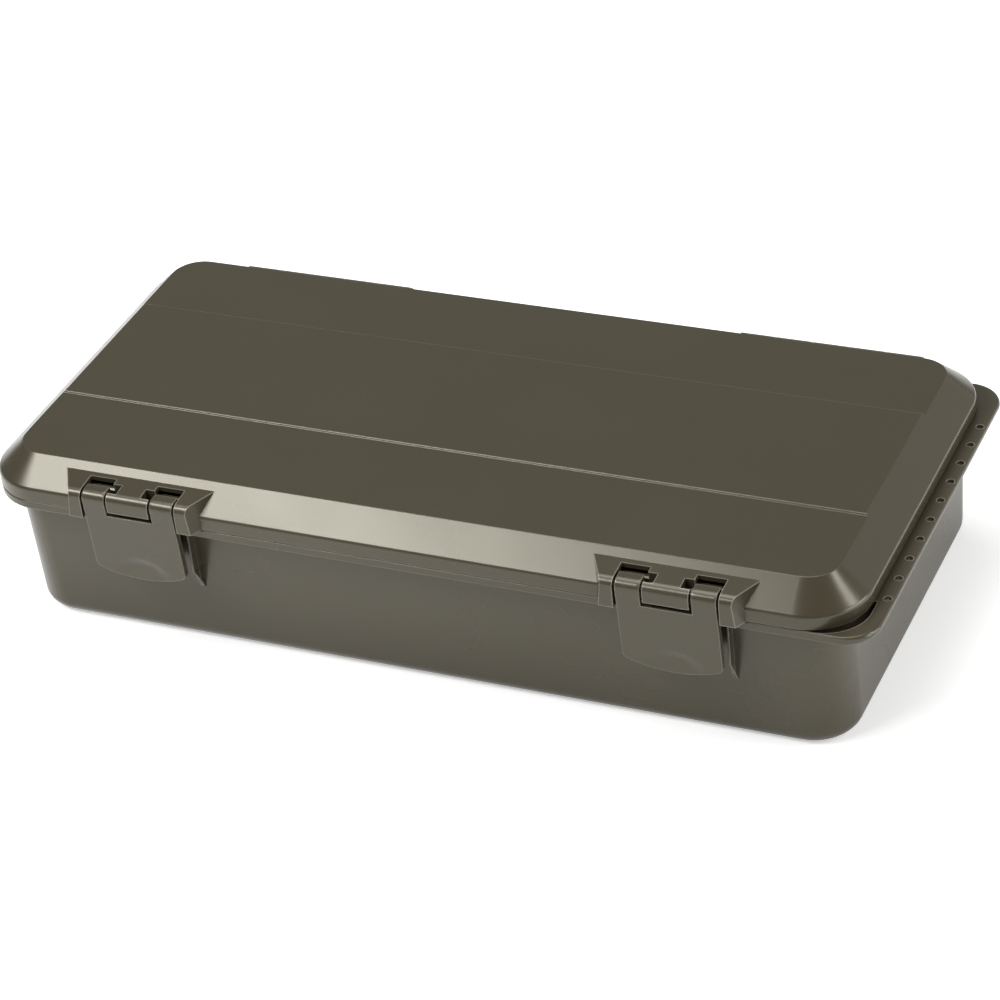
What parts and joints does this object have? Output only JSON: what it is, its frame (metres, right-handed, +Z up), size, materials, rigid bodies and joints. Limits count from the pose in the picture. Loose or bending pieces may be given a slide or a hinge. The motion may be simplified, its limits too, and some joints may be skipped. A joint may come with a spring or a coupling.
{
  "type": "fishing tackle box",
  "caption": "Long low lidded tackle box with front snap latches, rear pinned hinges, a ledge of peg holes at one end and lift-out dividers in moulded lanes.",
  "frame": {"origin": "centre of the tub's flat underside, halfway along the lid", "axes": "+X along the length towards the ledge of peg holes, +Y towards the hinges at the back, +Z up"},
  "size_m": [0.3605, 0.1856, 0.0753],
  "materials": {
    "shell": "satin moulded plastic, dark olive brown",
    "divider": "matt moulded plastic, olive brown",
    "steel": "bright drawn wire"
  },
  "bodies": {
    "tub": {"base_tub": "shell", "hinge_pin_left": "steel", "hinge_pin_right": "steel", "divider_front_1": "divider", "divider_front_2": "divider", "divider_front_3": "divider", "divider_front_4": "divider", "divider_front_5": "divider", "divider_middle_1": "divider", "divider_middle_2": "divider", "divider_middle_3": "divider", "divider_middle_4": "divider", "divider_back_1": "divider", "divider_back_2": "divider", "divider_back_3": "divider"},
    "lid": {"lid": "shell", "latch_pin_left": "steel", "latch_pin_right": "steel"},
    "latch_left": {"latch_left": "shell"},
    "latch_right": {"latch_right": "shell"}
  },
  "joints": [
    {"name": "lid_hinge", "type": "hinge", "parent": "tub", "child": "lid", "pos_m": [0, 0.09, 0.0606], "axis": [-1, 0, 0], "range_deg": [0, 110]},
    {"name": "latch_left_pivot", "type": "hinge", "parent": "lid", "child": "latch_left", "pos_m": [-0.1084, -0.0861, 0.0677], "axis": [-1, 0, 0], "range_deg": [0, 180]},
    {"name": "latch_right_pivot", "type": "hinge", "parent": "lid", "child": "latch_right", "pos_m": [0.1088, -0.0861, 0.0677], "axis": [-1, 0, 0], "range_deg": [0, 180]}
  ]
}
